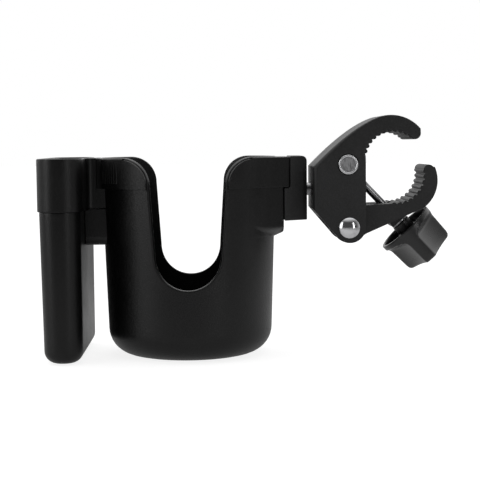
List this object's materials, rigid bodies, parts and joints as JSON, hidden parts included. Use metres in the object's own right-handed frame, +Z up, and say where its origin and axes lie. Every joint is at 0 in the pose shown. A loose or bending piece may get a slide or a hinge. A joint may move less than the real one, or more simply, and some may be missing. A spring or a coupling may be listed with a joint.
{
  "type": "tube clamp cup holder with phone pocket",
  "caption": "Tapered cup with open front and rear slots, a flat phone pocket on one side and a swivelling screw clamp for a tube on the other.",
  "frame": {"origin": "centre of the cup's flat underside, on the surface the holder stands on", "axes": "+Z up, +X from the cup towards the tube clamp, +Y to the rear; the phone pocket lies at -X"},
  "size_m": [0.215, 0.0884, 0.1247],
  "materials": {
    "moulded_black": "fine grained satin black moulding",
    "jaw_black": "glass-filled black nylon, fine grain",
    "knob_black": "smooth satin black moulding",
    "bright_plate": "bright plated",
    "barrel_bright": "bright alloy with a brushed end face",
    "zinc_steel": "zinc plated steel",
    "nylon": "natural nylon",
    "black_screw": "blackened steel"
  },
  "bodies": {
    "holder": {"cup_body": "moulded_black", "bracket_screw_upper": "black_screw", "bracket_screw_lower": "black_screw", "collar_screw_upper": "black_screw", "collar_screw_lower": "black_screw", "phone_pocket": "moulded_black", "pocket_collar": "moulded_black", "clamp_bracket": "jaw_black", "swivel_spring_washer": "zinc_steel"},
    "clamp_frame": {"fixed_jaw": "jaw_black", "swivel_bolt": "zinc_steel", "swivel_washer": "zinc_steel", "swivel_nut": "zinc_steel", "pivot_rivet": "bright_plate", "pivot_washer": "zinc_steel", "pivot_spacer": "nylon"},
    "jaw_lever": {"moving_jaw": "jaw_black"},
    "swing_nut": {"barrel_nut": "barrel_bright"},
    "thrust": {"thrust_saddle": "jaw_black", "thrust_washer": "zinc_steel"},
    "screw": {"knob": "knob_black", "clamp_bolt": "zinc_steel"}
  },
  "joints": [
    {"name": "clamp_swivel", "type": "hinge", "parent": "holder", "child": "clamp_frame", "pos_m": [0.0622, 0, 0.0863], "axis": [1, 0, 0], "continuous": true},
    {"name": "bolt_swing", "type": "hinge", "parent": "clamp_frame", "child": "swing_nut", "pos_m": [0.083, 0, 0.0993], "axis": [0, -1, 0], "range_deg": [-5.6, 6.1]},
    {"name": "bolt_travel", "type": "slide", "parent": "swing_nut", "child": "thrust", "axis": [-0.6871, 0, 0.7266], "range_m": [-0.00525, 0.00577]},
    {"name": "knob_spin", "type": "hinge", "parent": "thrust", "child": "screw", "pos_m": [0.11488, 0, 0.06559], "axis": [-0.6871, 0, 0.7266], "range_deg": [-2730, 3000]},
    {"name": "jaw_pivot", "type": "hinge", "parent": "clamp_frame", "child": "jaw_lever", "pos_m": [0.0835, 0, 0.0664], "axis": [0, -1, 0], "range_deg": [-13.8, 15.2]}
  ],
  "couplings": [
    {"joint": "knob_spin", "follows": "bolt_travel", "rad_per_m": 8976},
    {"joint": "jaw_pivot", "follows": "bolt_travel", "rad_per_m": 45.333},
    {"joint": "bolt_swing", "follows": "bolt_travel", "rad_per_m": 18.133}
  ]
}
